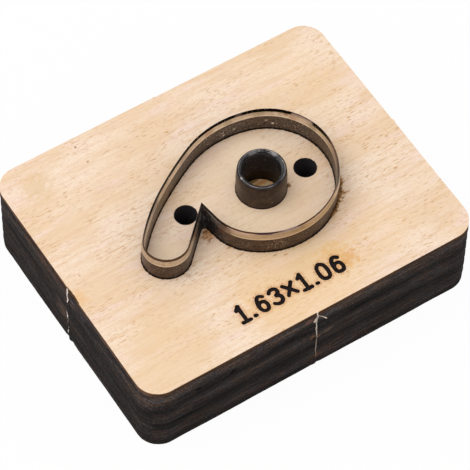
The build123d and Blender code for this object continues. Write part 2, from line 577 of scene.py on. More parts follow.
def tab_relief(x, y, z, outward):
    """How far a broken tab and the wall beside it stand out at a point, and how raw the wood is there."""
    side = side_of(outward)
    place, width, pale = torn_line(side, z)
    along = along_side(side, x, y)
    away = along - place
    ragged = 0.7 + 0.7 * noise.noise(Vector((z * 2.2, 3.0, place)))
    relief = (0.08 + 0.16 * pale) * exp(-((away / (width + 0.05)) ** 2)) * max(0.0, ragged)
    rawness = pale * held(1.8 * (1 - abs(away) / width))
    if (away > 0) == (side == "front"):
        relief += 0.06 * min(1.0, z / 6)
    for middle, half_width, out in foot_marks[side]:
        relief += out * exp(-(((along - middle) / half_width) ** 2)) * max(0.0, 1 - z / 2.4)
    if side == "left":
        relief -= 0.2 * exp(-(((away + 1.9) / 1.2) ** 2)) * max(0.0, (z - 15.2) / 2.6)
    return relief, rawness


# How far each wall stands outside the saw line at its foot, before it is charred
foot_stand = {"front": 0.09, "left": 0.2, "back": 0.12, "right": 0.12}
for vertex in board.data.vertices:
    x, y, z = vertex.co * 1000
    outward = from_core(x, y).normalized()
    charred = char_depth(x, y, z, outward) * (1 - 0.6 * held((z - 17.0) / 0.8))
    stand = foot_stand[side_of(outward)] * (1 - 0.8 * z / board_height)
    push = tab_relief(x, y, z, outward)[0] - charred + stand
    vertex.co += Vector((*(outward * push * MM), 0))
tell(board)

# %% The face block, finest beside the cuts and the mark
punch_x, punch_y = 6.08, 0.1
holes = ((15.4, -0.45, 2.15), (-8.9, 2.3, 2.15), (punch_x, punch_y, 4.8))


def rim_distance(point):
    """Distance in millimetres from a point to the nearest hole's wall, seen from above."""
    return min(abs(hypot(point.x * 1000 - x, point.y * 1000 - y) - radius) for x, y, radius in holes)


def tree_of(points):
    """A search tree of points, on the plane Z = 0."""
    tree = KDTree(len(points))
    for index, point in enumerate(points):
        tree.insert((point.x, point.y, 0), index)
    tree.balance()
    return tree


line_tree, stroke_tree = tree_of(line_points), tree_of(stroke_points)


def distance_to(tree, point):
    """Distance in millimetres from a point to the nearest point of a tree, seen from above."""
    return tree.find((point.x, point.y, 0))[2] * 1000


def near_cut(face, reach):
    """Tells whether a face lies within reach of a cut or of the mark."""
    point = face.calc_center_median()
    return (
        distance_to(line_tree, point) < 0.4 + reach
        or rim_distance(point) < reach
        or distance_to(stroke_tree, point) < 0.3 + reach
    )


deselect()
bpy.ops.mesh.primitive_cube_add(size=1)
face_block = named("face_block")
bpy.ops.object.mode_set(mode="EDIT")
bpy.ops.transform.resize(value=mm(72, 58, board_height))
bpy.ops.transform.translate(value=mm(0, 0, board_height / 2))
for up, rounds in ((1, (9, 7)), (-1, (9, 3))):
    for cuts in rounds:
        cut_up(face_block, "FACE", lambda face: face.normal.z * up > 0.5, cuts)
for up, reach in ((1, 0.95), (1, 0.5), (-1, 1.0)):
    cut_up(face_block, "FACE", lambda face: face.normal.z * up > 0.5 and near_cut(face, reach), 1)
bpy.ops.object.mode_set(mode="OBJECT")
tell(face_block)
carve(board, face_block, "INTERSECT")
tell(board)

# %% The kerf tool: the line again, a little wider, flared where the laser scorched the face
kerf_levels = ((17.6, 0.62), (17.74, 0.64), (17.8, 0.72), (18.4, 0.9))
kerf = raise_line("kerf", -1, kerf_levels)
wall = kerf.vertex_groups["wall"]
for vertex in kerf.data.vertices:
    if vertex.co.z > 17.7 * MM:
        x, y, z = vertex.co * 1000
        ragged = 0.12 * noise.noise(Vector((x * 1.7, y * 1.7, 3.0)))
        share = 0.9 if z > 17.9 else 0.72 if z > 17.78 else 0.64
        wall.add([vertex.index], share + ragged * (0.3 if z < 17.78 else 1), "REPLACE")
thicken(kerf, 0.8 / 0.62 * MM)
for bend, share in bridges:
    carve(kerf, box_across("bridge", bend, share, bridge_width, -2.0, bridge_top))
tell(kerf)

# %% Turned shapes: a half section spun round its own upright axis
def turned(name, section, centre, steps):
    """Draws a half section of (radius, height) points and spins it round an upright axis. One that starts
    and ends on the axis stays open there."""
    axis = mm(*centre)
    piece = one_vertex(name, axis + mm(section[0][0], 0, section[0][1]))
    closing = section[:1] if section[0][0] > 0 else []
    for (radius, level), (next_radius, next_level) in zip(section, section[1:] + closing):
        pull(mm(next_radius - radius, 0, next_level - level))
    bpy.ops.mesh.select_all(action="SELECT")
    bpy.ops.mesh.remove_doubles(threshold=0.001 * MM)
    bpy.ops.mesh.spin(steps=steps, angle=2 * pi, center=axis, axis=(0, 0, 1))
    bpy.ops.mesh.select_all(action="SELECT")
    bpy.ops.mesh.remove_doubles(threshold=0.001 * MM)
    close_mesh()
    return piece


# %% Cut the kerf, the holes and the mark
for hole_x, hole_y, hole_radius in holes:
    section = [
        (0, -1), (hole_radius, -1), (hole_radius, 17.66), (hole_radius + 0.03, 17.8),
        (hole_radius + 0.1, 18.4), (0, 18.4),
    ]
    carve(board, turned("drill", section, (hole_x, hole_y), 72))
for tool in (kerf, mark):
    carve(board, tool)
    tell(board)

# %% [markdown]
# ## What the laser left beside its cuts
# The beam blackens the rim of every cut and toasts the wood round it. A pattern on coordinates can't know
# where the cuts are, so the burns are stored on the board's points: soot for the black rim, toast for the
# brown halo, and raw for the pale fibres of the broken tabs. The material reads them by name.

# %% Store soot, toast and raw wood on the points
def fade(distance, reach):
    """1 at a cut's rim, falling to 0 over a reach."""
    return exp(-((max(0.0, distance) / reach) ** 2))


soot, toast, raw = [], [], []
for vertex in board.data.vertices:
    x, y, z = vertex.co * 1000
    line = distance_to(line_tree, vertex.co)
    rim = rim_distance(vertex.co)
    stroke = distance_to(stroke_tree, vertex.co)
    wobble = 0.06 * noise.noise(Vector((x * 2.1, y * 2.1, 5.0)))
    rim_black = 0.6 * fade(rim - 0.02, 0.06) if z > 17.75 else fade(rim - 0.15, 0.06)
    if z > 17.75:
        rim_black *= 1 - fade(hypot(x + 8.1, y - 0.2), 0.9)
    black = max(fade(line - 0.43 - wobble, 0.085), rim_black)
    brown = max(0.4 * fade(line - 0.45, 0.4), 0.25 * fade(rim - 0.05, 0.4), 0.9 * fade(stroke - 0.3, 0.25))
    soot.append(black if z > 1 else 0.0)
    toast.append(brown if z > 1 else 0.0)
    way = from_core(x, y)
    on_side = board_radius - way.length < 0.8 and min(abs(x), abs(y)) < 3
    raw.append(tab_relief(x, y, z, way.normalized())[1] if on_side else 0.0)
for name, values in (("soot", soot), ("toast", toast), ("raw", raw)):
    layer = board.data.attributes.new(name, "FLOAT", "POINT")
    layer.data.foreach_set("value", values)
print("points burned black:", sum(value > 0.5 for value in soot), "raw:", sum(value > 0.3 for value in raw))

# %% Smooth what is rounded, keep the saw edges sharp
smooth(board, 38)
smooth(rule, 12)

# %% [markdown]
# ## The tube punch
# The punch is turned from bar: a bore, a long outside and a slight taper below the rim. The cutting edge stands
# between two bevels, a wide one from the bore and a narrow one from outside. Spinning a half section is how a
# lathe shapes it, so every edge stays truly round; each corner has a small round that catches the light.

# %% Turn the punch
punch_section = [
    (3.65, 0), (4.45, 0), (4.75, 0.3), (4.75, 9), (4.75, 17.8), (4.75, 21.5), (4.74, 21.9), (4.7, 22.5),
    (4.63, 23.2), (4.59, 23.65), (4.57, 23.79), (4.55, 23.82), (4.35, 23.98), (4.32, 24.0), (4.22, 24.0),
    (4.19, 23.98), (3.95, 23.81), (3.92, 23.79), (3.68, 23.62), (3.65, 23.58), (3.65, 22.8), (3.65, 20),
    (3.65, 12),
]
punch = turned("punch", punch_section, (punch_x, punch_y), 144)
smooth(punch, 35)
tell(punch)

# %% [markdown]
# ## The core in the punch
# The laser cut the tube's seat as a ring, and what is left inside is a plug of the same plywood. Its top is
# broken fibre, lower than the face. Rings of faces are inset into a cylinder's top, and the points are lifted
# by noise drawn out along the grain; a plain disc would look like a lid.

# %% Shape the plug
core_radius, core_height = 3.6, 15.5
deselect()
bpy.ops.mesh.primitive_cylinder_add(
    vertices=72, radius=core_radius * MM, depth=core_height * MM, location=mm(punch_x, punch_y, core_height / 2)
)
core = named("core")
bpy.ops.object.transform_apply(location=True, rotation=True, scale=True)
select_in(core, "FACE", lambda face: face.normal.z > 0.5)
for _ in range(13):
    bpy.ops.mesh.inset(thickness=0.27 * MM)
bpy.ops.mesh.poke()
bpy.ops.object.mode_set(mode="OBJECT")
for vertex in core.data.vertices:
    x, y, z = vertex.co * 1000
    rim_gap = core_radius - hypot(x - punch_x, y - punch_y)
    if z > 14:
        fibre = noise.noise(Vector((x * 0.5, y * 3.2, 2.0))) * 0.14
        fibre += noise.noise(Vector((x * 2, y * 6, 9.0))) * 0.06
        vertex.co.z += (fibre - 0.08 + 0.05 * min(1.0, rim_gap)) * MM
smooth(core, 50)
tell(core)

# %% [markdown]
# ## Torn fibres
# Where the beam left the wood, a few fibres tore up: beside the rule on its right, and on the broken tab. Each
# is a thin curve that narrows to its tip. Curves with a radius at every point are the quick way to draw such
# hairs; they are made one mesh at the end.

# %% Draw the fibres as tapering curves
# root x and y, tip x, y and z, lift of the middle, and radius at the root, in millimetres
torn = (
    (19.35, -6.3, 20.05, -6.2, 18.0, 0.08, 0.11), (19.4, -6.45, 19.9, -6.0, 17.95, 0.08, 0.09),
    (18.95, -7.0, 20.15, -7.0, 18.0, 0.08, 0.1), (19.0, -7.25, 19.7, -6.95, 17.95, 0.08, 0.1),
    (18.85, -7.0, 18.4, -8.2, 18.0, 0.12, 0.22), (18.5, -7.3, 18.2, -8.2, 17.95, 0.12, 0.2),
    (18.2, -8.4, 18.4, -9.3, 17.95, 0.1, 0.16), (18.1, -8.75, 18.65, -8.5, 17.95, 0.1, 0.15),
    (18.4, -9.0, 19.8, -9.2, 17.9, 0.06, 0.11), (17.85, -8.1, 16.6, -10.0, 18.0, 0.1, 0.2),
    (17.5, -8.7, 16.3, -10.2, 18.0, 0.1, 0.18), (17.2, -9.3, 17.5, -9.95, 17.95, 0.1, 0.12),
    (17.4, -9.85, 18.1, -9.8, 17.9, 0.06, 0.09), (16.65, -10.2, 17.4, -10.4, 17.9, 0.06, 0.1),
    (17.8, -8.95, 17.45, -9.5, 17.9, 0.05, 0.08), (16.5, -9.9, 15.4, -11.0, 18.0, 0.1, 0.2),
    (16.1, -10.4, 15.7, -11.1, 17.95, 0.1, 0.15), (15.4, -10.8, 15.1, -11.5, 17.95, 0.06, 0.12),
    (14.8, -11.65, 15.65, -11.9, 17.95, 0.06, 0.12), (14.3, -11.6, 13.4, -12.2, 17.95, 0.06, 0.12),
    (10.35, -2.3, 10.95, -1.75, 18.0, 0.1, 0.12), (10.3, -2.4, 10.75, -2.6, 17.95, 0.1, 0.1),
    (10.5, -1.9, 10.95, -2.1, 17.95, 0.08, 0.1),
)
# root, tip, lift and radius
tab_splinters = (
    ((1.9, -28.3, 14.7), (0.3, -28.05, 16.5), 0.08, 0.14),
    ((1.75, -28.28, 14.95), (0.9, -28.15, 15.85), 0.05, 0.1),
    ((0.05, -28.1, 16.5), (0.4, -28.15, 16.4), 0.03, 0.12),
    ((-0.8, -28.28, 15.45), (0.0, -28.1, 16.5), 0.06, 0.12),
    ((-0.6, -28.25, 15.35), (-0.1, -28.1, 15.9), 0.04, 0.1),
    ((-0.1, -28.05, 13.4), (0.1, -28.25, 12.2), 0.05, 0.07),
    ((-35.3, 0.15, 17.75), (-35.5, 0.2, 16.2), 0.06, 0.14),
    ((-35.35, 0.25, 15.4), (-35.5, 0.2, 13.6), 0.05, 0.1),
    ((-35.3, 0.9, 8.8), (-35.45, 0.55, 7.2), 0.05, 0.1),
)


def fringe_beside_rule(seed):
    """Lists short torn fibres along the rule's outer foot, on the right of the belly."""
    start, heading, radius, _ = line_starts["belly"]
    centre = start + toward(heading + 90) * radius * MM
    dice = random.Random(seed)
    fringe = []
    for point in line_points:
        if point.x > 13.4 * MM and -12.2 * MM < point.y < -5.6 * MM:
            outward = (point - centre).normalized()
            along = Vector((-outward.y, outward.x, 0))
            for _ in range(3):
                root = point / MM + outward * dice.uniform(0.38, 0.5)
                tip = root + outward * dice.uniform(0.1, 0.55) + along * dice.uniform(-0.45, 0.45)
                low, high = dice.uniform(17.8, 18.0), dice.uniform(17.82, 18.3)
                fringe.append(((root.x, root.y, low), (tip.x, tip.y, high), 0.06, dice.uniform(0.06, 0.12)))
    return fringe


def draw_fibres(name, fibres, seed):
    """Draws thin curves that narrow from root to tip, and makes them one mesh."""
    piece = new_curve(name, MM, 1)
    dice = random.Random(seed)
    for root, tip, lift, thickness in fibres:
        points = []
        for index in range(5):
            share = index / 4
            way = Vector(root).lerp(Vector(tip), share)
            way += Vector([dice.uniform(-0.06, 0.06) for _ in range(3)]) * (0 < index < 4)
            way.z += lift * sin(pi * share)
            points.append((way * MM, thickness * (1 - 0.85 * share)))
        add_line(piece, "NURBS", points, 3, 3)
    focus(piece)
    bpy.ops.object.convert(target="MESH")
    piece = named(name)
    select_in(piece, "VERT")
    bpy.ops.mesh.remove_doubles(threshold=0.002 * MM)
    close_mesh()
    tell(piece)
    return piece


on_board = [((x, y, board_height), tip, lift, radius) for x, y, *tip, lift, radius in torn]
torn_fibres = draw_fibres("torn_fibres", on_board + fringe_beside_rule(11), 3)
splinters = draw_fibres("tab_splinters", tab_splinters, 8)

# %% [markdown]
# ## Helpers for the materials
# A node tree is read more easily when each node takes one line, so each helper makes a node in the tree at
# hand, wires or sets its inputs, and gives its output. Colours are written as on the web and turned to
# Blender's linear values. `paint` lays one colour over another through masks that are multiplied.

# %% Node helpers
class Bench:
    """What the helpers work on: the tree at hand, its shader, and the vector that its textures read."""

    tree = shader = where = None


def feed(node, feeds):
    """Gives each input a value or the output that feeds it."""
    for key, value in feeds.items():
        if isinstance(value, bpy.types.NodeSocket):
            Bench.tree.links.new(value, node.inputs[key])
        else:
            node.inputs[key].default_value = value


def add(kind, feeds=None, **settings):
    """Adds a node, with its settings and what feeds it."""
    node = Bench.tree.nodes.new(f"ShaderNode{kind}")
    for name, value in settings.items():
        setattr(node, name, value)
    feed(node, feeds or {})
    return node


def tinted(colour):
    """Turns a web colour to a linear one with alpha, and leaves an output as it is."""
    if not isinstance(colour, str):
        return colour
    levels = [int(colour[start : start + 2], 16) / 255 for start in range(1, 7, 2)]
    return (*(level / 12.92 if level <= 0.04045 else ((level + 0.055) / 1.055) ** 2.4 for level in levels), 1.0)


def maths(operation, *values, clamp=False):
    """Adds a Math node."""
    return add("Math", dict(enumerate(values)), operation=operation, use_clamp=clamp).outputs[0]


def vectors(operation, *values):
    """Adds a Vector Math node. A length, a distance and a dot product are numbers."""
    node = add("VectorMath", dict(enumerate(values)), operation=operation)
    return node.outputs[1 if operation in ("LENGTH", "DISTANCE", "DOT_PRODUCT") else 0]


def times(product, *factors):
    """Multiplies values."""
    for factor in factors:
        product = maths("MULTIPLY", product, factor)
    return product


def swing(base, pattern, amount):
    """Moves a base up and down by a pattern round 0.5."""
    return maths("MULTIPLY_ADD", maths("SUBTRACT", pattern, 0.5), amount, base)


def blend(factor, under, over):
    """Mixes two colours."""
    return add("Mix", {0: factor, 6: tinted(under), 7: tinted(over)}, data_type="RGBA").outputs[2]


def paint(under, over, *masks):
    """Lays a colour over another where all the masks are bright."""
    return blend(times(*masks), under, over)


def span(value, low, high, out_low=0.0, out_high=1.0):
    """Maps a value from one range to another, clamped, with soft ends."""
    feeds = {0: value, 1: low, 2: high, 3: out_low, 4: out_high}
    return add("MapRange", feeds, interpolation_type="SMOOTHSTEP").outputs[0]


def ramp(length, low, high, *outs):
    """Maps a length as span does, from a range in millimetres."""
    return span(length, low * MM, high * MM, *outs)


def axes(vector):
    """Splits a vector into its three numbers."""
    return tuple(add("SeparateXYZ", {0: vector}).outputs)


def stored(name):
    """Reads a layer that is stored on the points."""
    return add("Attribute", attribute_name=name).outputs["Fac"]


def cloud(scale, detail, roughness, turn=0):
    """Adds noise, with one scale, or with one for each axis after a turn in degrees."""
    vector = Bench.where
    if isinstance(scale, tuple):
        feeds = {"Vector": vector, "Rotation": (0, 0, radians(turn)), "Scale": scale}
        vector, scale = add("Mapping", feeds).outputs[0], 1.0
    feeds = {"Vector": vector, "Scale": scale, "Detail": detail, "Roughness": roughness}
    return add("TexNoise", feeds).outputs[0]


def new_group(name, inputs, outputs):
    """Starts a shared node group, and gives its tree, what it is given and where its results go."""
    tree = Bench.tree = bpy.data.node_groups.new(name, "ShaderNodeTree")
    for label, kind, value in inputs:
        socket = tree.interface.new_socket(label, in_out="INPUT", socket_type=f"NodeSocket{kind}")
        if value is not None:
            socket.default_value = value
    for label in outputs:
        tree.interface.new_socket(label, in_out="OUTPUT", socket_type="NodeSocketFloat")
    return tree, tree.nodes.new("NodeGroupInput").outputs, tree.nodes.new("NodeGroupOutput")


def new_material(name):
    """Starts a material, whose tree, shader and object coordinates go on the bench."""
    material = bpy.data.materials.new(name)
    material.use_nodes = True
    Bench.tree = material.node_tree
    Bench.shader = Bench.tree.nodes["Principled BSDF"]
    Bench.where = add("TexCoord").outputs["Object"]
    return material


def surface(colour, roughness, height, strength, depth, specular=0.5, metallic=0.0):
    """Feeds the shader, with a bump whose depth is in millimetres."""
    bump = add("Bump", {"Height": height, "Strength": strength, "Distance": depth * MM}).outputs[0]
    feeds = {"Base Color": colour, "Roughness": roughness, "Metallic": metallic}
    feed(Bench.shader, {**feeds, "Specular IOR Level": specular, "Normal": bump})


def dress(piece, *materials):
    """Gives a piece its materials."""
    piece.data.materials.clear()
    for material in materials:
        piece.data.materials.append(material)


# %% [markdown]
# ## Effects that several materials share
# Grain is one effect on the face, the core and the fibres: long streaks with short flecks between them. Dust
# lies on both steel parts as pale specks. A spot is a ragged round place for a stain, a scorch, painted light
# or a painted highlight. Each is built once as a node group, with its measures as inputs.

# %% Grain
grain, given, result = new_group(
    "grain",
    [("Vector", "Vector", None), ("Fineness", "Float", 1.0)],
    ["Streaks", "Flecks", "Patches", "Mottle"],
)
fineness = {0: given["Vector"], "Scale": given["Fineness"]}
Bench.where = add("VectorMath", fineness, operation="SCALE").outputs[0]
feed(result, {
    "Streaks": cloud((110, 1300, 1300), 3.0, 0.6, 2),
    "Flecks": span(cloud((800, 4200, 4200), 1.0, 0.5, 4), 0.56, 0.74),
    "Patches": cloud((60, 150, 150), 2.0, 0.5, 4),
    "Mottle": cloud(2600, 1.0, 0.5),
})


def grain_of(fineness):
    """Places the grain."""
    return add("Group", node_tree=grain, feeds={"Vector": Bench.where, "Fineness": fineness}).outputs


# %% Dust
dust, given, result = new_group(
    "dust", [("Vector", "Vector", None), ("Size", "Float", 0.0003), ("Share", "Float", 0.05)], ["Mask"],
)
per_metre = maths("DIVIDE", 1.0, given["Size"])
cells = add("TexVoronoi", {"Vector": given["Vector"], "Scale": per_metre}, feature="F1").outputs
lot = add("SeparateColor", {0: cells["Color"]}).outputs[0]
chosen = maths("LESS_THAN", lot, given["Share"])
feed(result, {"Mask": times(span(cells["Distance"], 0.38, 0.18), chosen)})


def dust_of(size, share):
    """Places dust: the size of its cells in millimetres, and the share of them that hold a speck."""
    feeds = {"Vector": Bench.where, "Size": size * MM, "Share": share}
    return add("Group", node_tree=dust, feeds=feeds).outputs["Mask"]


# %% A round spot at a place
spot, given, result = new_group(
    "spot",
    [
        ("Vector", "Vector", None), ("Centre", "Vector", (0, 0, 0)), ("Radius", "Float", 0.001),
        ("Ragged", "Float", 0.4), ("Stretch", "Vector", (1, 1, 1)),
    ],
    ["Mask"],
)
Bench.where = given["Vector"]
gap = vectors("MULTIPLY", vectors("SUBTRACT", Bench.where, given["Centre"]), given["Stretch"])
share_of_radius = maths("DIVIDE", vectors("LENGTH", gap), given["Radius"])
pushed = swing(share_of_radius, cloud(900, 3.0, 0.6), given["Ragged"])
feed(result, {"Mask": span(pushed, 1.0, 0.3)})
print("shared groups:", [group.name for group in bpy.data.node_groups])


def near(place, radius, ragged, stretch=(1, 1, 1)):
    """Places a spot, in millimetres, and gives its mask."""
    feeds = {"Centre": mm(*place), "Radius": radius * MM, "Ragged": ragged, "Stretch": stretch}
    return add("Group", node_tree=spot, feeds={"Vector": Bench.where, **feeds}).outputs["Mask"]


# %% [markdown]
# ## Birch face
# The face is sanded birch: nearly white, with short yellow-brown flecks along the grain, faint streaks and
# broad soft patches. The laser's soot and toast come from the stored layers, broken up by noise so that no
# burn has a clean edge. Everything is on object coordinates, so the grain runs on over the whole face.

# %% Birch face material
birch_face = new_material("birch_face")
wood = grain_of(1.0)
clusters = span(cloud((120, 210, 210), 2.0, 0.6, 5), 0.4, 0.62, 0.3, 1.0)
colour = blend(span(wood["Patches"], 0.35, 0.66), "#fae4cd", "#f2d4b2")
colour = blend(span(cloud((90, 320, 320), 2.0, 0.6, 6), 0.5, 0.68, 0.0, 0.8), colour, "#f9dfd0")
colour = paint(colour, "#e7c096", span(wood["Streaks"], 0.42, 0.7), 0.55)
colour = paint(colour, "#ce9e6a", wood["Flecks"], clusters)
colour = paint(colour, "#ecceb2", span(wood["Mottle"], 0.42, 0.66), 0.45)
# x, y, radius, how ragged, colour, strength, and a stretch; the pale spots at (4, 0), (-16.3, -3.6)
# and (8, 8.5) are painted light that lifts the shade inside the rule
for x, y, size, ragged, spot_colour, strength, *stretch in (
    (1.0, -20.5, 19.0, 0.6, "#f2ca92", 0.5), (-26.0, -21.0, 12.0, 0.8, "#eecca0", 0.5),
    (4.0, 0.0, 16.0, 0.3, "#ffe2be", 0.5), (-16.3, -3.6, 5.0, 0.3, "#ffe6c8", 0.6),
    (-29.0, 22.0, 4.0, 2.2, "#e2c092", 0.5), (9.8, -19.8, 4.2, 2.2, "#ecb86c", 0.5),
    (11.6, -21.0, 2.2, 2.4, "#e2a45c", 0.45), (-7.5, -20.6, 4.0, 2.4, "#f0c086", 0.4),
    (-3.0, -20.4, 2.6, 2.4, "#ecb880", 0.4), (20.0, -19.0, 8.0, 0.8, "#f6cc94", 0.25),
    (23.0, 17.0, 15.0, 0.8, "#f6d4a6", 0.25), (8.0, 8.5, 6.0, 0.6, "#ffe6c8", 0.6),
    (-7.75, -3.5, 1.9, 1.6, "#d69e66", 0.8),
    (-7.9, -2.75, 0.6, 1.4, "#8c5026", 0.8, (0.8, 1.6, 1)),
    (-6.0, -7.9, 0.5, 2.0, "#aa7846", 0.7, (0.6, 1.6, 1)),
    (-4.75, -10.3, 0.5, 2.0, "#c49262", 0.6, (0.6, 1.6, 1)),
    (0.2, -13.7, 0.3, 2.0, "#b0845c", 0.6, (0.6, 1.6, 1)),
    (2.0, -14.6, 0.35, 2.0, "#ce9658", 0.6, (0.6, 1.6, 1)),
    (19.4, -6.3, 0.8, 1.6, "#be8a56", 0.6), (18.3, -8.9, 0.7, 1.6, "#c4905c", 0.6),
    (10.6, -2.15, 0.6, 1.6, "#784e2a", 0.85), (-18.25, 26.0, 0.3, 0.5, "#6e4c36", 0.8),
    (-18.0, 22.0, 0.4, 0.8, "#ba9062", 0.8), (-15.4, -9.2, 0.9, 1.2, "#c8aa8c", 0.6),
    (-32.1, 1.4, 0.7, 0.6, "#be8064", 0.7, (5, 1, 1)),
    (-34.5, -3.0, 1.8, 1.6, "#eebe84", 0.5, (1, 0.7, 1)),
):
    colour = paint(colour, spot_colour, near((x, y, board_height), size, ragged, *stretch), strength)
x, y, z = axes(Bench.where)
edge_tone = blend(ramp(x, -35.2, -35.05), "#4a2c0e", "#a06e30")
edge_scorch = span(near((-35.35, -1.8, board_height), 2.9, 1.2, (5.6, 1, 1)), 0.25, 0.6)
colour = paint(colour, edge_tone, edge_scorch, 0.95)
scorch_grain = span(cloud((900, 3600, 3600), 3.0, 0.7, 12), 0.48, 0.6)
colour = paint(colour, "#8c481a", near((-7.75, -3.75, board_height), 2.1, 1.2), scorch_grain, 0.9)
break_up = cloud(2300, 3.0, 0.6)
toast_share = maths("MULTIPLY", stored("toast"), span(break_up, 0.3, 0.7), clamp=True)
colour = paint(colour, "#ba763c", toast_share, 0.8)
soot_share = span(swing(stored("soot"), break_up, 0.5), 0.3, 0.6)
sunk = times(ramp(z, 17.796, 17.78), maths("GREATER_THAN", z, 10 * MM))
colour = paint(colour, "#160906", maths("MAXIMUM", soot_share, sunk))
surface(colour, 0.72, maths("MULTIPLY_ADD", wood["Flecks"], -0.6, wood["Streaks"]), 0.25, 0.06, specular=0.25)

# %% [markdown]
# ## Charred sides
# The sides are nearly black. What tells the plies apart is how they burned: plies cut along their grain keep
# grey-brown streaks, plies cut across burn to a flat black. The veneer right under the face stays brown, and
# the broken tabs leave a torn line of raw wood. Height picks the ply, and stretched noise draws the streaks.

# %% Charred side material
charred_side = new_material("charred_side")
x, y, z = axes(Bench.where)
normal_x, normal_y, _ = axes(add("NewGeometry").outputs["True Normal"])
lean = maths("SUBTRACT", maths("ABSOLUTE", normal_x), maths("ABSOLUTE", normal_y))
sideways = span(lean, -0.4, 0.4)
odd_ply = maths("GREATER_THAN", maths("FRACT", maths("DIVIDE", z, 2 * ply * MM)), 0.5)
cross_ply = maths("COMPARE", odd_ply, sideways, 0.5)
long_streak = cloud((130, 130, 2300), 5.0, 0.7)
short_streak = cloud((500, 500, 5200), 3.0, 0.6)
crumbs = cloud(2500, 2.0, 0.6)
light = 0.41
patch = cloud((90, 90, 380), 3.0, 0.6)
for pattern, amount in ((long_streak, 1.3), (patch, 0.6), (short_streak, 0.8), (crumbs, 1.0)):
    light = swing(light, pattern, amount)
band, crest = 6.25, 3.1
swell = maths("COSINE", maths("MULTIPLY_ADD", z, 2 * pi / (band * MM), -2 * pi * crest / band))
light = maths("ADD", light, times(swell, maths("MULTIPLY_ADD", sideways, -0.21, 0.17)))
light = maths("POWER", maths("MULTIPLY_ADD", cross_ply, -0.07, light, clamp=True), 2.0)
split = span(cloud((70, 70, 3000), 2.0, 0.5), 0.3, 0.4, 0.25, 1.0)
front_shade, left_shade = ramp(z, 10.8, 13.8, 0.5, 0.93), ramp(z, 10.5, 15.6, 0.55, 1.5)
light = times(light, split, add("Mix", {0: sideways, 2: front_shade, 3: left_shade}).outputs[0])
tone = blend(span(cloud((300, 300, 900), 3.0, 0.6), 0.42, 0.6), "#7e6557", "#6c6565")
char = blend(light, "#151110", tone)
veneer_light = span(long_streak, 0.3, 0.62)
veneer_tone = blend(sideways, "#5a3a1e", "#764e30")
char = paint(char, veneer_tone, ramp(z, 16.5, 17.0), veneer_light, span(sideways, 0.0, 1.0, 0.7, 0.85))
char = paint(char, "#966842", ramp(z, 17.35, 17.7), veneer_light, 0.5)
streaky = span(short_streak, 0.42, 0.58, 0.3, 1.25)
# x, y, z, radius, stretch, stain and strength of a patch; the weak ones are broken up by the streaks
for *place, size, stretch, spot_colour, strength in (
    (-1.3, -28.0, 15.7, 1.4, (0.8, 1, 1.8), "#966454", 0.5),
    (-0.75, -28.0, 9.7, 0.9, (0.9, 1, 1.3), "#8c5e40", 0.5),
    (0.7, -28.0, 9.3, 0.7, (0.9, 1, 1.5), "#8c5c3c", 0.4),
    (2.2, -28.0, 9.7, 1.5, (0.7, 1, 1.8), "#745e4a", 0.4),
    (0.5, -28.0, 2.9, 1.0, (0.9, 1, 1.0), "#784a3a", 0.5),
    (-0.4, -28.0, 8.9, 0.4, (1, 1, 0.5), "#0e0804", 0.9),
    (8.0, -28.1, 7.2, 22.0, (1, 1, 24), "#161110", 0.35),
    (-14.0, -28.1, 7.3, 18.0, (1, 1, 20), "#161110", 0.35),
    (0.5, -28.0, 8.3, 0.4, (1, 1, 0.6), "#0e0a0a", 0.9),
    (0.35, -28.0, 12.6, 0.3, (1, 1, 0.2), "#0c0909", 0.8),
    (-25.1, -28.2, 13.15, 1.1, (1, 1, 2.0), "#080707", 0.95),
    (-17.9, -28.2, 12.75, 1.2, (1, 1, 2.0), "#080707", 0.95),
    (-35.3, -0.15, 12.6, 0.34, (1, 1, 0.14), "#0a0808", 0.95),
    (-35.3, 0.15, 7.6, 0.32, (1, 1, 0.12), "#0a0808", 0.95),
    (-35.3, 0.2, 3.4, 0.34, (1, 1, 0.16), "#0a0808", 0.9),
    (-35.25, 0.9, 12.5, 1.1, (1, 1.2, 1.2), "#6e422e", 0.5),
    (-35.25, -1.9, 17.5, 2.6, (1, 1, 2.4), "#3e2612", 0.85),
    (-35.25, 7.0, 15.4, 15.0, (1, 1, 10), "#684838", 0.4),
    (-35.25, -1.2, 14.9, 1.3, (1, 1, 1.8), "#646874", 0.5),
    (-35.25, -4.6, 14.0, 1.2, (1, 1, 1.8), "#545868", 0.5),
    (-35.25, 2.6, 7.6, 3.4, (1, 1.0, 1.3), "#685248", 0.5),
):
    masks = [near(place, size, 1.4, stretch), strength]
    char = paint(char, spot_colour, *masks, *([streaky] if strength < 0.6 else []))
char = blend(span(stored("soot"), 0.5, 0.9), char, "#383335")
raw_wood = times(stored("raw"), span(crumbs, 0.3, 0.5, 0.4, 1.0))
paleness = span(raw_wood, 0.3, 0.75)
raw_front = blend(paleness, "#8c8066", "#cebcb6")
raw_left = blend(paleness, "#b4a49e", "#fff6f0")
char = blend(span(raw_wood, 0.12, 0.4), char, blend(sideways, raw_front, raw_left))
surface(char, 0.95, maths("ADD", long_streak, times(short_streak, 0.5)), 0.8, 0.15, specular=0.15)

# %% Give the board both materials, by the way its faces look
dress(board, birch_face, charred_side)
for face in board.data.polygons:
    in_mark = distance_to(stroke_tree, face.center) < 0.6
    on_face = abs(face.normal.z) > 0.6 and not 0.1 * MM < face.center.z < 17.74 * MM
    face.material_index = 0 if on_face or in_mark else 1
print("faces on the sides and in the cuts:", sum(face.material_index for face in board.data.polygons))
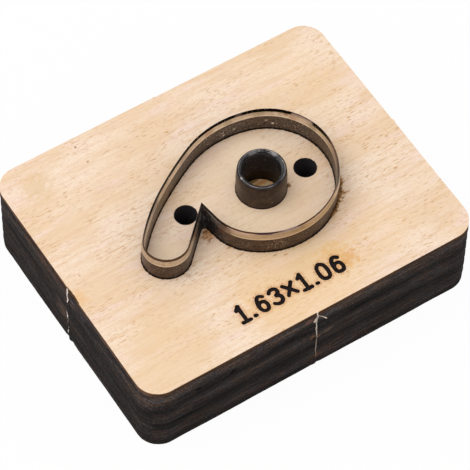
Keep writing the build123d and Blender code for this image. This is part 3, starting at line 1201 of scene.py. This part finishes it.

# %% [markdown]
# ## Steel of the rule
# The strip is hardened and blued: dark and a little brown, with a painted reflection of the wood face on the
# back walls that face the front, towards the tail. The ground bevels are bare; their tan is a painted
# reflection of the wood beside them, paler on the back, with a painted highlight line where the bevel starts.
# The edge facet is coloured dark, darkest on the back, and worn light over the crown, and the weld left soot at
# the corner. Height and place pick each of these.

# %% Rule steel material: the blued strip and its bare bevels
rule_steel = new_material("rule_steel")
x, y, z = axes(Bench.where)
normal = add("NewGeometry").outputs["True Normal"]
grit = cloud(3200, 2.0, 0.7)
drawn = cloud((1500, 1500, 9000), 2.0, 0.5)
back_side, tail_side = ramp(y, -4, 4), ramp(x, -10, -15)
blued = blend(span(cloud(700, 3.0, 0.6), 0.35, 0.7), "#50443c", "#645448")
blued = paint(blued, "#6a615b", back_side, 0.6)
# On the back, towards the tail, the walls that face the front get a painted reflection of the wood face in
# lighter brown
faces_front = span(axes(normal)[1], 0.05, -0.05)
blued = paint(blued, "#927e68", back_side, faces_front, ramp(x, -4, -12))
blued = paint(blued, "#2c2424", span(grit, 0.5, 0.36), 0.8)
blued = paint(blued, "#968a84", span(grit, 0.56, 0.72), 0.6)
# The bevels' tan is a painted reflection of the wood beside them, paler on the back; the front ones also get
# olive and pink lanes
sheen = span(drawn, 0.3, 0.7)
front_bevel_reflection = blend(sheen, "#a4988a", "#d0c3b2")
back_bevel_reflection = blend(sheen, "#cabeb0", "#faebdc")
bevel_reflection_and_lanes = blend(maths("MAXIMUM", back_side, times(tail_side, 0.15)), front_bevel_reflection, back_bevel_reflection)
lane = cloud((150, 150, 2400), 2.0, 0.5)
front_side = maths("SUBTRACT", 0.5, maths("MAXIMUM", back_side, tail_side), clamp=True)
bevel_reflection_and_lanes = paint(bevel_reflection_and_lanes, "#b4a874", span(lane, 0.5, 0.56), front_side)
bevel_reflection_and_lanes = paint(bevel_reflection_and_lanes, "#ccb4aa", span(lane, 0.5, 0.44), front_side)
ground = ramp(z, 21.57, 21.63)
steel = blend(ground, blued, bevel_reflection_and_lanes)
# A painted highlight line where the bevel starts, above the blued wall
bevel_edge_highlight = blend(back_side, "#e2d8cc", "#fcf4ea")
steel = paint(steel, bevel_edge_highlight, ramp(z, 21.58, 21.64), ramp(z, 21.95, 21.8), 0.7)
steel = paint(steel, "#3c281c", ramp(z, 21.3, 21.4), ramp(z, 21.6, 21.55), 0.7)

# %% The facet at the edge: it starts lower on some parts, and is worn on others
dark_side = maths("MAXIMUM", ramp(y, -1, 1), near((-10.4, -3.5, 23.2), 5.0, 0.2))
right_end = ramp(x, 15, 16)
past_grey = times(right_end, ramp(y, 4.8, 3.8))
tip_drop = times(dark_side, 0.12 * MM)
crown_part = times(ramp(x, 8.6, 10), ramp(y, 7, 8.5))
low_right = times(ramp(x, 8, 12), ramp(y, -7, -9))
for part, drop in ((crown_part, 0.06), (past_grey, 0.15), (low_right, 0.1)):
    tip_drop = maths("MULTIPLY_ADD", part, drop * MM, tip_drop)
tip = ramp(maths("ADD", tip_drop, z), 22.98, 23.04)
crown_limit = ramp(maths("MULTIPLY_ADD", y, -0.5, x), 13.4, 14.0)
unworn = times(past_grey, ramp(y, -2, -1))
worn = times(
    ramp(maths("MULTIPLY_ADD", y, -1.0, x), 0.6, 1.4),
    maths("MAXIMUM", crown_limit, ramp(y, 2, 0)),
    maths("SUBTRACT", 1.0, unworn),
)
lower_facet = ramp(maths("ADD", times(ramp(y, 0, -4), 0.11 * MM), z), 23.32, 23.26)
far_right = times(ramp(x, 12, 17), ramp(y, 0, -2))
tip_dark = blend(dark_side, "#584236", "#18110e")
tip_dark = blend(far_right, tip_dark, "#624a42")
tip_dark = paint(tip_dark, "#968684", ramp(y, 8.2, 7.8), ramp(y, 3.6, 4.8), right_end, 0.9)
tip_light = blend(far_right, "#d6c8c2", "#967e74")
steel = blend(tip, steel, paint(tip_dark, tip_light, worn, lower_facet))

# %% Heat tints, soot, dust, rust, painted highlights and painted shade on the rule
on_bevel = maths("SUBTRACT", ground, tip, clamp=True)
# x, y, z, radius, colour and strength of a spot; the near-white one at (15.6, 10.1) is a painted highlight
# on the back bevel; the ones on the facet or the bevel stay there
for *place, size, spot_colour, strength in (
    (-6.0, -6.0, 22.3, 2.7, "#846656", 0.7), (-4.9, -7.0, 20.6, 1.7, "#76543e", 0.5),
    (-10.6, -4.2, 22.3, 2.6, "#927a6a", 0.5), (12.6, -12.3, 22.3, 4.6, "#b8aa80", 0.6),
    (16.0, -9.9, 22.4, 2.8, "#f4e8da", 0.7), (9.3, 12.95, 23.2, 1.0, "#8c7a82", 0.7),
    (-1.0, -11.8, 23.3, 2.2, "#42324a", 0.8), (3.4, -13.3, 23.3, 2.2, "#b0a4ac", 0.75),
    (-6.4, -5.9, 21.2, 1.2, "#804e34", 0.6), (15.6, 10.1, 22.45, 0.55, "#fff8f0", 0.8),
    (17.0, 8.8, 22.7, 0.55, "#966442", 0.7), (17.8, 7.7, 22.1, 1.1, "#d2a894", 0.5),
    (19.7, 4.0, 22.2, 1.5, "#a09674", 0.6), (20.2, 1.8, 22.6, 1.0, "#e4d6aa", 0.5),
    (2.6, 13.2, 22.4, 1.6, "#c8a692", 0.6), (7.0, 13.1, 22.3, 1.4, "#b0a68a", 0.5),
    (12.6, 11.8, 22.3, 1.6, "#b8aa92", 0.5), (-4.2, 10.2, 22.3, 2.2, "#b0a098", 0.5),
    (-10.5, 6.9, 22.3, 2.6, "#baaca0", 0.5), (14.1, 11.0, 20.3, 0.35, "#dcd6ce", 0.6),
    (15.15, 10.3, 19.4, 0.35, "#faf6f0", 0.9), (8.2, 12.9, 19.55, 0.35, "#e6e2de", 0.7),
    (5.9, 13.0, 19.8, 0.32, "#dcd6d2", 0.7), (6.05, 13.0, 19.0, 0.35, "#ece6e2", 0.8),
):
    masks = [near(place, size, 0.9), strength]
    if place[2] > 21.6:
        masks.append(tip if place[2] > 23 else on_bevel)
    steel = paint(steel, spot_colour, *masks)
sooted = near((-7.2, -2.0, 20.2), 5.9, 0.8)
smoke = blend(ramp(z, 20.2, 22.0), "#0e0c0d", "#2c201a")
steel = blend(sooted, steel, paint(smoke, "#565a64", span(cloud(1900, 2.0, 0.6), 0.58, 0.7), 0.8))
# A painted highlight in grey on the edge facet along the inner side of the tail straight
inner_tail = vectors("DOT_PRODUCT", normal, (-0.7, 0.72, 0))
steel = paint(steel, "#969092", near((-8.8, -1.9, 23.2), 2.4, 0.5), span(inner_tail, 0.8, 0.95), 0.85)
# Painted shade with pale dust specks on the bevel beside the belly at the front right, on its inner side and
# top
inner_belly = vectors("DOT_PRODUCT", normal, (-0.8, 0.6, 0))
shade_and_dust_side = maths("MAXIMUM", span(inner_belly, 0.02, 0.1), ramp(z, 22.3, 22.6))
shade_and_dust_tone = blend(span(grit, 0.6, 0.68), "#2e2622", "#cec8c0")
steel = paint(steel, shade_and_dust_tone, near((17.2, -7.9, 22.8), 4.0, 0.8), shade_and_dust_side, 0.85)
bead = near((-6.6, -3.9, 23.0), 2.6, 0.5)
steel = paint(steel, "#968e86", ramp(z, 22.66, 22.74), ramp(z, 23.0, 22.94), bead, 0.8)
dusty = times(span(cloud(130, 1.0, 0.5), 0.4, 0.62, 0.3, 1.0), ramp(y, -2, 4, 0.2, 1.0))
steel = paint(steel, "#cec6be", dust_of(0.4, 0.2), dusty)
rust = blend(span(grit, 0.4, 0.6), "#462a16", "#8c6030")
steel = paint(steel, rust, near((15.8, -10.2, 18.2), 4.6, 0.9), ramp(z, 20.2, 18.8), 0.85)
# x, y, z, radius and colour of lumps of dust
for *place, size, spot_colour in (
    (17.6, -7.0, 20.0, 2.6, "#b2aca4"), (8.6, 12.6, 19.2, 3.4, "#78767c"),
    (5.9, 13.0, 19.4, 2.2, "#969498"), (1.2, -13.1, 20.0, 2.4, "#a4988c"),
):
    steel = paint(steel, spot_colour, near(place, size, 0.8), span(grit, 0.5, 0.62), ramp(z, 21.6, 21.4), 0.75)
foot = times(ramp(z, 18.3, 17.95), ramp(z, 0.5, 1))
steel = blend(foot, steel, "#1c110a")
metal = maths("SUBTRACT", 1.0, maths("MAXIMUM", sooted, foot), clamp=True)
rough = maths("MULTIPLY_ADD", sooted, 0.3, span(drawn, 0.2, 0.8, 0.3, 0.42))
surface(steel, rough, drawn, 0.2, 0.03, specular=0.25, metallic=metal)
dress(rule, rule_steel)

# %% [markdown]
# ## Blackened steel of the punch
# The punch is darker than the rule, turned, with rings that the tool left and painted highlights on the rim.
# Distance from its axis and height make the rings; the rim and bevel are picked by height, and the bore is
# painted darker deeper down as painted shade.

# %% Punch steel material
punch_steel = new_material("punch_steel")
x, y, z = axes(Bench.where)
smudge = cloud(500, 3.0, 0.6)
rings = cloud((120, 120, 9000), 2.0, 0.5)
rim = ramp(z, 23.45, 23.62)
dark = blend(span(smudge, 0.35, 0.7), "#423935", "#5a4c44")
dark = blend(rim, dark, "#353130")
from_axis = vectors("SUBTRACT", Bench.where, mm(punch_x, punch_y))
radius = vectors("LENGTH", vectors("MULTIPLY", from_axis, (1, 1, 0)))
turning = maths("SINE", times(radius, 2 * pi / (0.21 * MM)))
bevel = blend(ramp(radius, 3.68, 4.2), "#1c1b1c", "#565658")
bevel = paint(bevel, "#181718", span(turning, -0.4, 0.6), span(smudge, 0.36, 0.56), 0.6)
bevel = paint(bevel, "#141315", span(cloud(1300, 3.0, 0.7), 0.52, 0.42), ramp(y, -0.5, 1.5), 0.8)
# A painted highlight along the front half of the bore's edge
bevel = paint(bevel, "#969496", ramp(radius, 3.84, 3.78), ramp(y, 1, -1), 0.5)
dark = paint(dark, bevel, rim, ramp(radius, 4.24, 4.16))
# height of a thin painted highlight along an edge of the rim, and how bright it is
for level, brightness in ((23.79, 0.4), (23.975, 0.6)):
    ring = times(ramp(z, level - 0.04, level - 0.02), ramp(z, level + 0.05, level + 0.02))
    dark = paint(dark, "#a09a96", ring, span(smudge, 0.34, 0.6), brightness)
# x, y, z, radius and brightness of a painted highlight on the rim
rim_highlights = ((6.5, 4.1, 23.8, 1.3, 0.3), (9.8, 1.9, 23.8, 1.1, 0.3), (1.85, 0.25, 23.95, 0.4, 0.9))
for *place, size, brightness in rim_highlights:
    dark = paint(dark, "#bebab8", near(place, size, 1.4), rim, brightness)
in_bore = ramp(radius, 3.7, 3.67)
# The bore is painted lighter near its top and darker deeper down: painted shade in the hole, with pale specks
bore = blend(ramp(z, 22.4, 23.6), "#2e2b2d", "#444244")
bore = paint(bore, "#606064", span(cloud(1600, 2.0, 0.6), 0.56, 0.7), 0.6)
dark = blend(in_bore, dark, bore)
dark = paint(dark, "#c8c0b8", dust_of(0.6, 0.06), 0.4)
foot = times(ramp(z, 18.1, 17.85), ramp(z, 0.5, 1))
dark = blend(foot, dark, "#18110d")
metal = maths("SUBTRACT", 1.0, maths("MAXIMUM", foot, times(in_bore, 0.7)))
surface(dark, span(rings, 0.2, 0.8, 0.38, 0.5), rings, 0.3, 0.04, specular=0.25, metallic=metal)
dress(punch, punch_steel)

# %% Core and fibre materials, from the same grain
core_wood = new_material("core_wood")
wood = grain_of(1.4)
middle = vectors("DISTANCE", Bench.where, mm(punch_x, punch_y, 15.4))
colour = blend(span(wood["Streaks"], 0.38, 0.6), "#ffe8b6", "#fcb470")
colour = paint(colour, "#96643c", wood["Flecks"], 0.6)
colour = blend(ramp(middle, 2.2, 3.4, 0.0, 0.4), colour, "#f0ac6a")
# x, y, radius, stretch and stain
for x, y, size, stretch, spot_colour in (
    (6.3, 3.45, 1.3, (0.7, 2.4, 1), "#7c6c3a"),
    (7.6, 2.3, 1.3, (0.6, 2.0, 1), "#eca05c"),
    (8.3, 2.95, 0.8, (0.6, 2.6, 1), "#ffe8ba"),
):
    colour = paint(colour, spot_colour, near((x, y, 15.4), size, 1.0, stretch), 0.8)
colour = blend(ramp(middle, 3.49, 3.61), colour, "#5a3a24")
surface(colour, 0.8, wood["Streaks"], 0.5, 0.1)
dress(core, core_wood)

for name, dull, bright, piece in (
    ("scorched_fibre", "#644019", "#ce9c5a", torn_fibres),
    ("raw_fibre", "#d6beaa", "#f0e0ce", splinters),
):
    material = new_material(name)
    wood = grain_of(2.0)
    surface(blend(span(wood["Mottle"], 0.35, 0.65), dull, bright), 0.8, wood["Streaks"], 0.4, 0.05)
    dress(piece, material)

# %% [markdown]
# ## Stage, camera and light
# The floor is white and keeps the die's shadow; to the camera and in reflections it shows mostly its own white,
# as a light table does. The camera was solved from the board's edges in the photograph: it looks down at 56.5
# degrees from the front left, through a long lens. The light is an even white sky and one large soft lamp.

# %% Ride on the frame, and stand for the CAD solids
for piece, node, finish in (
    (board, "die_board", "birch_plywood"),
    (rule, "cutting_rule", "rule_steel"),
    (punch, "tube_punch", "punch_steel"),
    (core, "punch_core", "core_wood"),
):
    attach(piece, "root")
    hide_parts(node)
for piece in (torn_fibres, splinters):
    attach(piece, "root")
bpy.data.objects.remove(centre_line)

# %% White floor that keeps the shadow
def empty_tree(owner):
    """Puts the emptied tree of a material or a world on the bench."""
    owner.use_nodes = True
    Bench.tree = owner.node_tree
    Bench.tree.nodes.clear()


white = (1, 1, 1, 1)
deselect()
bpy.ops.mesh.primitive_plane_add(size=6, location=(0, 0, -0.00002))
floor_sheet = named("floor")
bpy.ops.object.transform_apply(location=True, rotation=True, scale=True)
floor_white = bpy.data.materials.new("floor_white")
empty_tree(floor_white)
rays = add("LightPath").outputs
seen = maths("MAXIMUM", rays["Is Glossy Ray"], rays["Is Transmission Ray"])
seen = maths("MAXIMUM", rays["Is Camera Ray"], seen)
lit = add("BsdfDiffuse", {"Color": (0.9, 0.9, 0.9, 1)}).outputs[0]
glow = add("Emission", {"Color": white, "Strength": 1.0}).outputs[0]
add("OutputMaterial", {"Surface": add("MixShader", {0: times(seen, 0.96), 1: lit, 2: glow}).outputs[0]})
floor_sheet.data.materials.append(floor_white)

# %% World and lamp
world = bpy.data.worlds.new("studio")
bpy.context.scene.world = world
empty_tree(world)
rays = add("LightPath").outputs
seen = maths("MAXIMUM", rays["Is Camera Ray"], rays["Is Transmission Ray"])
sky = add("Background", {"Color": white, "Strength": 0.77}).outputs[0]
backdrop = add("Background", {"Color": white, "Strength": 1.0}).outputs[0]
add("OutputWorld", {"Surface": add("MixShader", {0: seen, 1: sky, 2: backdrop}).outputs[0]})

deselect()
lamp_place = Vector((-0.25, 0.1, 0.6))
bpy.ops.object.light_add(type="AREA", location=lamp_place)
lamp = bpy.context.object
lamp.name = "softbox"
lamp.data.size = 0.5
lamp.data.energy = 1.4
lamp.rotation_euler = lamp_place.to_track_quat("Z", "Y").to_euler()

# %% Camera
azimuth, elevation, roll = -33.3686, 56.5235, 1.1109
view_scale = 231.616
bpy.ops.object.camera_add()
camera = bpy.context.object
camera.name = "camera"
camera.data.lens = view_scale
camera.data.sensor_width = 36
turn = Matrix.Rotation(radians(azimuth), 4, "Z") @ Matrix.Rotation(radians(90 - elevation), 4, "X")
turn = turn @ Matrix.Rotation(radians(roll), 4, "Z")
aim, distance = mm(-3.6134, -6.1662, 17.8), 0.550506
camera.matrix_world = Matrix.Translation(aim) @ turn @ Matrix.Translation((0, 0, distance))
camera.data.clip_start, camera.data.clip_end = 0.05, 20
bpy.context.scene.camera = camera
bpy.context.scene.view_settings.view_transform = "Standard"
print("camera at, mm:", [round(1000 * value, 2) for value in camera.matrix_world.translation])

# %% Finish
bpy.context.view_layer.update()
